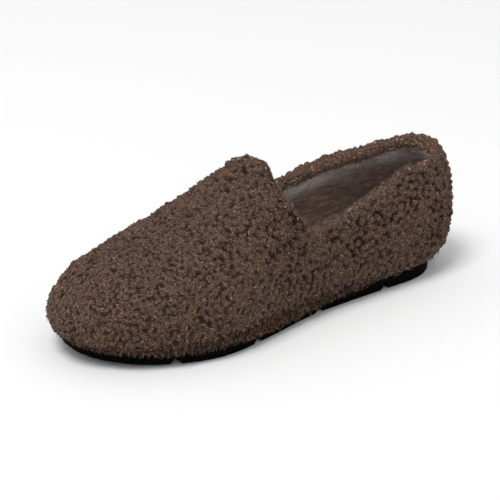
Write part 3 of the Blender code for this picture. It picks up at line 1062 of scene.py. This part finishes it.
@dataclass
class CurlyPile:
    """The curls of the upper: bundles of bent fibres set close together on the ground."""

    upper: Upper
    seed: int = 7
    spacing: float = 2.6 * MM
    coarse_shares: tuple[float, ...] = (0.10, 0.45, 0.66, 0.84)
    coarse_sizes: tuple[float, ...] = (1.36, 1.38, 1.20, 1.02)
    roll_fine: float = 0.36
    roll_flat: float = 0.4
    hem_fine: float = 0.35
    ground_ends: Pair = (0.35, 0.6)
    bare_below: float = 0.05
    tuft_height: Pair = (1.15 * MM, 2.0 * MM)
    tuft_growth: float = 1.9
    tuft_reach: Pair = (1.9 * MM, 2.6 * MM)
    tuft_floor: float = 0.45 * MM
    tuft_warp: float = 1.0 * MM
    tufts_near: int = 4
    warp_pitch: float = 2.2 * MM
    crinkle: float = 0.25 * MM
    crinkle_pitch: float = 1.5 * MM
    # Share below which the ground's painted crevice shade is not let fall on the collar: painted light there.
    collar_crown: float = 0.6
    swell: float = 0.9 * MM
    swell_pitch: float = 8.0 * MM
    locks: int = 3
    lock_sizes: Pair = (1.0, 1.36)
    lock_reach: Pair = (0.88, 0.54)
    lock_shade: float = 0.5
    droop: Pair = (0.2, 1.0)
    droop_gain: float = 1.3
    droop_least: float = 0.2 * MM
    fibres: int = 3
    rings: int = 5
    over: float = 0.35 * MM
    over_range: Pair = (0.4, 1.4)
    loop: Pair = (0.8 * MM, 1.4 * MM)
    # Loop sizes of the fibres with a painted copper glint, and of the others.
    copper_loop: Pair = (1.0, 1.4)
    wool_loop: Pair = (0.40, 1.10)
    spiral: float = 0.30
    girth: Pair = (0.11 * MM, 0.21 * MM)
    girth_shade: Pair = (0.8, 0.6)
    tilt: Pair = (20.0, 85.0)
    sweep: Pair = (130.0, 240.0)
    sweep_strays: float = 18.0
    strays: float = 0.18
    strays_along: float = 0.6
    barrel: float = 0.9 * MM
    pitch: float = 0.4 * MM
    crowded: float = 0.20
    dive: float = 0.2 * MM
    dive_power: float = 3.5
    shade_shares: Pair = (0.40, 0.60)
    # Share of the fibres with a painted copper glint, and the glint's strength.
    copper_share: float = 0.13
    copper_range: Pair = (0.5, 1.0)
    hem: Pair = (12.0 * MM, 18.0 * MM)
    hem_least: float = 0.1
    hem_ends: Pair = (0.2 * MM, 1.2 * MM)
    hem_fur: ShortFur = ShortFur(
        "pile_hem", Node.UPPER, Slot.PILE, 4000, 31, CurlFinish("hem_fibre"),
        length=(2.2 * MM, 4.2 * MM), comb=(0.0, 0.0, -1.0),
    )
    toe_from: float = 0.735
    vamp_from: float = 0.50

    def coarseness(self, places: Array, roll: Array) -> Array:
        """Size of the curls at each point, against those at the toe: small on the collar's roll."""
        sizes = np.interp(self.upper.share_of(places), self.coarse_shares, self.coarse_sizes)
        return sizes * (1.0 - self.roll_fine * roll)

    def tufts(self, skin: Skin, rng: Rng) -> dict[str, Array]:
        """Places the tufts.

        Args:
            skin: The ground.
            rng: The random numbers.

        Returns:
            Arrays by name, one row per tuft.
        """
        tree = tree_of(skin.places)
        rolled = skin.attribute("roll")
        weight = step(skin.attribute("outside"), *self.ground_ends)
        roots, normals = skin.spread(
            weight, self.spacing, lambda at: self.coarseness(at, rolled[nearest_in(tree, at)]), rng
        )
        count = len(roots)
        nearest = nearest_in(tree, roots)
        roll = rolled[nearest]
        size = self.coarseness(roots, roll)
        size = size * (1.0 - self.hem_fine + self.hem_fine * step(roots[:, 2], *self.hem))
        swell = np.array([noise.noise(Vector(root) / self.swell_pitch) for root in roots])
        shade = rng.random(count)
        collar = rng.random(count) < skin.attribute("collar")[nearest]
        height = rng.uniform(*self.tuft_height, count) * size**self.tuft_growth
        height = height * (1.0 - self.roll_flat * roll) + self.swell * swell * (1.0 - roll)
        reach = rng.uniform(*self.tuft_reach, count) * size
        return {
            "root": roots, "normal": normals, "size": size, "shade": shade,
            "collar": collar, "height": height, "reach": reach,
        }

    def raise_tufts(self, skin: Skin, tufts: dict[str, Array]) -> None:
        """Raises a soft dome of the ground for every tuft.

        Args:
            skin: The ground.
            tufts: The tufts.
        """
        tree = tree_of(tufts["root"])
        outside = skin.attribute("outside")
        lift = np.zeros(len(skin.places))
        crown = np.zeros(len(skin.places))
        for number in np.flatnonzero(outside > self.bare_below):
            place = Vector(skin.places[number])
            place += self.tuft_warp * noise.noise_vector(place / self.warp_pitch)
            found = tree.find_n(place, self.tufts_near)
            near = [(1.0 - (away / tufts["reach"][tuft]) ** 2, tuft) for _, tuft, away in found]
            lift[number] = max(self.tuft_floor, *(share * tufts["height"][tuft] for share, tuft in near))
            lift[number] += self.crinkle * noise.noise(place / self.crinkle_pitch)
            crown[number] = max(share for share, _ in near)
        lift = lift * outside
        mesh = skin.piece.data
        Bench.move(mesh, skin.places + skin.normals * lift[:, None])
        # The ground's rise sets its painted crevice shade; on the collar it is held up, which is painted
        # light.
        crown = np.maximum(crown, self.collar_crown * skin.attribute("collar"))
        Bench.mark(mesh, {"rise": np.clip(crown, 0.0, 1.0)})

    def locks_of(self, tufts: dict[str, Array], rng: Rng) -> dict[str, Array]:
        """Gives each tuft a few small locks, each with its own turn.

        Args:
            tufts: The tufts.
            rng: The random numbers.

        Returns:
            Arrays by name, one row per lock.
        """
        each = {name: np.repeat(given, self.locks, axis=0) for name, given in tufts.items()}
        count = len(each["root"])
        normals = each["normal"]
        aside = unit(np.cross(normals, unit(rng.normal(size=(count, 3)))))
        reach = np.interp(each["size"], self.lock_sizes, self.lock_reach)
        away = each["reach"] * reach * np.sqrt(rng.random(count))
        around = unit(np.cross(normals, unit(rng.normal(size=(count, 3)))))
        tilt = np.radians(rng.uniform(*self.tilt, count))
        each["root"] = each["root"] + aside * away[:, None]
        each["height"] = each["height"] * (1.0 - (away / each["reach"]) ** 2)
        each["axis"] = np.cos(tilt)[:, None] * normals + np.sin(tilt)[:, None] * around
        each["up"] = np.sin(tilt)[:, None] * normals - np.cos(tilt)[:, None] * around
        each["side"] = np.cross(normals, around)
        each["tilt"] = tilt
        each["loop"] = rng.uniform(*self.loop, count) * each["size"]
        each["shade"] = (1.0 - self.lock_shade) * each["shade"] + self.lock_shade * rng.random(count)
        hang = self.droop_gain * self.upper.fringe_at(each["root"]) + self.droop_least
        each["droop"] = rng.uniform(*self.droop, count) * hang
        return each

    def fibres_of(self, locks: dict[str, Array], rng: Rng) -> Strands:
        """Bends the fibres of all locks.

        Args:
            locks: The locks.
            rng: The random numbers.

        Returns:
            The fibres.
        """
        each = {name: np.repeat(given, self.fibres, axis=0) for name, given in locks.items()}
        count = len(each["root"])
        share = np.linspace(0.0, 1.0, self.rings)[None]
        flat = 1.0 - (np.degrees(each["tilt"]) - self.tilt[0]) / (self.tilt[1] - self.tilt[0])
        sweep = np.radians(rng.uniform(*self.sweep, count))
        start = math.pi / 2 - sweep / 2 + np.radians(rng.normal(0.0, self.sweep_strays, count))
        start = start + flat * np.repeat(rng.uniform(-math.pi, math.pi, count // self.fibres), self.fibres)
        # A few fibres carry a painted copper glint, and bend in wider loops.
        copper = rng.random(count) < self.copper_share
        ratio = np.where(copper, rng.uniform(*self.copper_loop, count), rng.uniform(*self.wool_loop, count))
        loop = each["loop"] * ratio
        angle = start[:, None] + sweep[:, None] * share
        radius = loop[:, None] * (1.0 - self.spiral * share * rng.random(count)[:, None])
        jitter = rng.normal(0.0, self.strays, (3, count, 1))
        side = unit(each["side"] + jitter[0] * each["up"] + self.strays_along * jitter[1] * each["axis"])
        up = unit(each["up"] - jitter[0] * each["side"] + self.strays_along * jitter[2] * each["axis"])
        shift = (rng.random(count) - 0.5) * self.barrel
        pitch = rng.normal(0.0, self.pitch, count)
        top = each["height"] * (1.0 - self.crowded * np.minimum(ratio, 1.0) ** 2)
        top = top + self.over * rng.uniform(*self.over_range, count)
        lift = top - loop * np.sin(each["tilt"])
        dive = (lift + self.dive)[:, None] * np.abs(2.0 * share - 1.0) ** self.dive_power
        lines = (
            each["root"][:, None]
            + side[:, None] * (radius * np.cos(angle))[:, :, None]
            + up[:, None] * (radius * np.sin(angle))[:, :, None]
            + each["axis"][:, None] * (shift[:, None] + pitch[:, None] * (share - 0.5))[:, :, None]
            + each["normal"][:, None] * (lift[:, None] - dive)[:, :, None]
        )
        height = ((lines - each["root"][:, None]) * each["normal"][:, None]).sum(2)
        rise = np.clip(height / (each["height"] + self.over)[:, None], 0.0, 1.0)
        shade = self.shade_shares[0] * each["shade"] + self.shade_shares[1] * rng.random(count)
        low = 1.0 - step(each["root"][:, 2], *self.hem)
        lines[:, :, 2] -= (low * each["droop"])[:, None] * rise
        return Strands(
            lines=lines,
            lean=each["axis"],
            girth=rng.uniform(*self.girth, count) * (self.girth_shade[0] + self.girth_shade[1] * shade),
            shade=shade,
            rise=rise,
            glint=copper * rng.uniform(*self.copper_range, count),
        )

    def zones(self, roots: Array, collar: Array) -> dict[Zone, Array]:
        """Which panel each fibre belongs to.

        Args:
            roots: Where each fibre is rooted.
            collar: Which fibres belong to the collar.

        Returns:
            A mask for each panel.
        """
        share = self.upper.share_of(roots)
        toe = (share > self.toe_from) & ~collar
        vamp = (share > self.vamp_from) & ~toe & ~collar
        back = ~toe & ~vamp & ~collar
        return {
            Zone.TOE: toe, Zone.VAMP: vamp, Zone.COLLAR: collar,
            Zone.LATERAL: back & (roots[:, 0] >= 0.0), Zone.MEDIAL: back & (roots[:, 0] < 0.0),
        }

    @staticmethod
    def materials() -> dict[Zone, Material]:
        """Makes the fibres' materials as lit and shaded copies of one wool: paler on the collar as painted
        light, darker on the sides as painted shade, and lighter at the toe with less painted shade at the
        roots.

        Returns:
            A material for each panel.
        """
        # Painted shade on the sides, a lighter toe with less painted root shade, and painted light on the
        # collar.
        side = CurlFinish("side_fibre_shaded", body=(0.029, 0.0163, 0.0114), light=(0.366, 0.214, 0.149)).material()
        toe = CurlFinish("toe_fibre", root=(0.020, 0.0119, 0.0089), body=(0.046, 0.0259, 0.018))
        collar = CurlFinish("collar_fibre_lit", body=(0.125, 0.073, 0.051), light=(0.820, 0.500, 0.357))
        return {
            Zone.TOE: toe.material(), Zone.VAMP: CurlFinish().material(), Zone.COLLAR: collar.material(),
            Zone.LATERAL: side, Zone.MEDIAL: side,
        }

    def build(self, ground: Piece) -> None:
        """Sets the pile on the ground, one piece for each panel, and the fringe at the hem.

        Args:
            ground: The upper's ground.
        """
        rng = np.random.default_rng(self.seed)
        noise.seed_set(self.seed)
        skin = Skin(ground)
        tufts = self.tufts(skin, rng)
        self.raise_tufts(skin, tufts)
        fibres = self.fibres_of(self.locks_of(tufts, rng), rng)
        each = self.locks * self.fibres
        roots = np.repeat(tufts["root"], each, axis=0)
        materials = self.materials()
        for zone, chosen in self.zones(roots, np.repeat(tufts["collar"], each)).items():
            Bench.declare(fibres.part(chosen).build(zone.value), Node.UPPER, Slot.PILE, materials[zone])
        low = skin.attribute("outside") * (1.0 - step(skin.places[:, 2], *self.hem))
        hung = step(self.upper.fringe_at(skin.places), *self.hem_ends)
        low = low * (self.hem_least + (1.0 - self.hem_least) * hung)
        self.hem_fur.build(Skin(ground), low, np.zeros(len(low)))


@dataclass
class Lining:
    """The fur inside the upper, with a painted grey sheen near the collar, and its thin haze of hairs along
    the near rim, which carry a little painted grey sheen too.
    """

    fur: ShortFur = ShortFur("lining_fur", Node.UPPER, Slot.PILE, 6000, 19, FurFinish("lining_fur"))
    edge: ShortFur = ShortFur(
        "lining_edge", Node.UPPER, Slot.PILE, 180, 29, FurFinish("lining_edge"),
        length=(2.6 * MM, 4.2 * MM), girth=(0.05 * MM, 0.09 * MM), comb=(0.0, 0.0, 1.0), stand=0.5,
    )
    floor: Pair = (11.0 * MM, 14.0 * MM)
    seen_ends: Pair = (-35.0 * MM, 5.0 * MM)
    hidden_share: float = 0.12
    edge_side: float = 15.0 * MM
    edge_ends: Pair = (7.0 * MM, 98.0 * MM)
    # How much painted grey sheen the haze of hairs along the rim carries.
    edge_bloom: float = 0.18

    def build(self, ground: Piece) -> None:
        """Sets the lining's fur.

        Args:
            ground: The upper's ground.
        """
        skin = Skin(ground)
        across, along, height = skin.places.T
        seen = step(along, *self.seen_ends)
        inside = skin.attribute("lining") * step(height, *self.floor)
        near = (across > self.edge_side) & (along > self.edge_ends[0]) & (along < self.edge_ends[1])
        within = skin.attribute("roll") * (1.0 - skin.attribute("out")) * near
        weight = inside * (self.hidden_share + (1.0 - self.hidden_share) * seen)
        self.fur.build(skin, weight, skin.attribute("painted_sheen"))
        self.edge.build(skin, within, np.full(len(within), self.edge_bloom))


@dataclass
class Footbed:
    """The soft pad inside the shoe, swollen like stuffed cloth and napped with short fur."""

    voxel: float = 3.0 * MM
    levels: int = 1
    shrink: float = 0.4 * MM
    stretch: float = 1.18
    axis_ends: Pair = (-80.0 * MM, 82.0 * MM)
    seat_below: float = -0.3
    pressure: float = 4.0
    frames: int = 20
    lift_cap: float = 1.1 * MM
    side_cap: float = 0.3 * MM
    nap: ShortFur = ShortFur(
        "insole_nap", Node.INSOLE, Slot.FOOTBED, 1500, 23, FurFinish("insole_nap"), comb=(0.1, -1.0, 0.0)
    )
    nap_ends: Pair = (0.5, 0.8)
    seen_ends: Pair = (-75.0 * MM, -35.0 * MM)
    hidden_share: float = 0.1

    def swell(self, pad: Piece) -> None:
        """Lets pressure round the pad while its underside stays put.

        Args:
            pad: The pad.
        """
        before = Bench.places(pad.data)
        low = Bench.normals(pad.data)[:, 2] < self.seat_below
        pinned = pad.vertex_groups.new(name="seat")
        pinned.add(np.flatnonzero(low).tolist(), 1.0, "REPLACE")
        Bench.take(pad)
        cloth = pad.modifiers.new("cloth", "CLOTH")
        cloth.settings.use_pressure = True
        cloth.settings.uniform_pressure_force = self.pressure
        cloth.settings.effector_weights.gravity = 0.0
        cloth.settings.vertex_group_mass = pinned.name
        cloth.point_cache.frame_end = self.frames
        scene = bpy.context.scene
        for number in range(1, self.frames + 1):
            scene.frame_set(number)
        bpy.ops.object.modifier_apply(modifier=cloth.name)
        scene.frame_set(1)
        moved = Bench.places(pad.data) - before
        side = np.linalg.norm(moved[:, :2], axis=1, keepdims=True)
        moved[:, :2] *= np.minimum(1.0, self.side_cap / np.maximum(side, 1e-9))
        moved[:, 2] = np.clip(moved[:, 2], 0.0, self.lift_cap)
        Bench.move(pad.data, before + moved)

    def build(self) -> None:
        """Models the pad and its nap."""
        pad = Bench.copy_of(Node.INSOLE, "insole_pad")
        Bench.finish_with(pad, "REMESH", {"mode": "VOXEL", "voxel_size": self.voxel})
        wider = Bench.places(pad.data) - Bench.normals(pad.data) * self.shrink
        middle = np.clip(wider[:, 1], *self.axis_ends)
        wider[:, 0] *= self.stretch
        wider[:, 1] = middle + (wider[:, 1] - middle) * self.stretch
        Bench.move(pad.data, wider)
        self.swell(pad)
        Bench.finish_with(pad, "SUBSURF", {"levels": self.levels, "render_levels": self.levels})
        Bench.take(pad)
        bpy.ops.object.shade_smooth()
        skin = Skin(pad)
        plain = np.zeros(len(skin.places))
        Bench.mark(pad.data, {"lining": plain + 1.0, "painted_sheen": plain})
        Bench.declare(pad, Node.INSOLE, Slot.FOOTBED, GroundFinish().material())
        seen = self.hidden_share + (1.0 - self.hidden_share) * step(skin.places[:, 1], *self.seen_ends)
        self.nap.build(skin, step(skin.normals[:, 2], *self.nap_ends) * seen, plain)


@dataclass
class Sole:
    """The rubber sole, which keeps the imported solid."""

    finish: RubberFinish = RubberFinish()

    def build(self) -> None:
        """Gives the sole its rubber."""
        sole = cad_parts[Node.OUTSOLE.value]
        material = self.finish.material()
        for place in sole.material_slots:
            place.material = material
        LOG.info("%s: dressed", sole.name)


@dataclass(frozen=True)
class Lamp:
    """A soft square light: its angles round the shoe in degrees, watts, and side in metres."""

    name: str
    azimuth: float
    elevation: float
    power: float
    size: float


@dataclass
class Studio:
    """Plain pale floor, soft light and the camera at the photograph's angle."""

    azimuth: float = 54.71
    elevation: float = 23.56
    distance: float = 0.9151
    target: Place = (0.0, -0.00475, 0.035)
    lens: float = 111.38
    sensor: float = 36.0
    shift: float = -0.0151
    clip_start: float = 0.01
    floor_size: float = 8.0
    floor_cuts: int = 7
    sky: float = 0.66
    lamp_distance: float = 3.0
    lamps: tuple[Lamp, ...] = (Lamp("key", 15.0, 68.0, 46.0, 1.1), Lamp("fill", 88.0, 45.0, 1.8, 1.8))

    def aim(self, azimuth: float, elevation: float, distance: float) -> dict[str, Any]:
        """Where a thing stands that faces the shoe.

        Args:
            azimuth: Its direction round the shoe in degrees.
            elevation: Its height above the horizon in degrees.
            distance: Its distance from the target.

        Returns:
            Location and rotation.
        """
        turn, rise = math.radians(azimuth), math.radians(elevation)
        back = Vector((math.sin(turn) * math.cos(rise), -math.cos(turn) * math.cos(rise), math.sin(rise)))
        facing = (-back).to_track_quat("-Z", "Y").to_euler()
        return {"location": Vector(self.target) + back * distance, "rotation": facing}

    def set_camera(self) -> None:
        """Sets up the camera."""
        Bench.clear_selection()
        bpy.ops.object.camera_add(**self.aim(self.azimuth, self.elevation, self.distance))
        camera = bpy.context.object
        camera.data.lens = self.lens
        camera.data.sensor_width = self.sensor
        camera.data.shift_x = self.shift
        camera.data.clip_start = self.clip_start
        bpy.context.scene.camera = camera

    def lay_floor(self) -> None:
        """Lays the floor under the sole."""
        Bench.clear_selection()
        bpy.ops.mesh.primitive_plane_add(size=self.floor_size)
        floor = bpy.context.object
        floor.name = "studio_floor"
        bpy.ops.object.mode_set(mode="EDIT")
        bpy.ops.mesh.subdivide(number_cuts=self.floor_cuts)
        bpy.ops.object.mode_set(mode="OBJECT")
        floor.data.materials.append(FloorFinish().material())
        LOG.info("%s: laid", floor.name)

    def hang(self, lamp: Lamp) -> None:
        """Adds one light that faces the shoe.

        Args:
            lamp: The light.
        """
        Bench.clear_selection()
        bpy.ops.object.light_add(type="AREA", **self.aim(lamp.azimuth, lamp.elevation, self.lamp_distance))
        light = bpy.context.object
        light.name = lamp.name
        light.data.energy = lamp.power
        light.data.size = lamp.size

    def build(self) -> None:
        """Sets up floor, lights, sky and camera."""
        self.lay_floor()
        for lamp in self.lamps:
            self.hang(lamp)
        world = bpy.data.worlds.new("studio")
        world.use_nodes = True
        sky = world.node_tree.nodes["Background"]
        sky.inputs["Color"].default_value = (1.0, 1.0, 1.0, 1.0)
        sky.inputs["Strength"].default_value = self.sky
        bpy.context.scene.world = world
        bpy.context.scene.view_settings.view_transform = "Standard"
        self.set_camera()


def main() -> None:
    """Builds the pieces in order."""
    logging.basicConfig(level=logging.INFO, format="%(name)s: %(message)s")
    Sole().build()
    Footbed().build()
    upper = Upper()
    ground = upper.build()
    CurlyPile(upper).build(ground)
    Lining().build(ground)
    Studio().build()


if __name__ == "__main__":
    main()
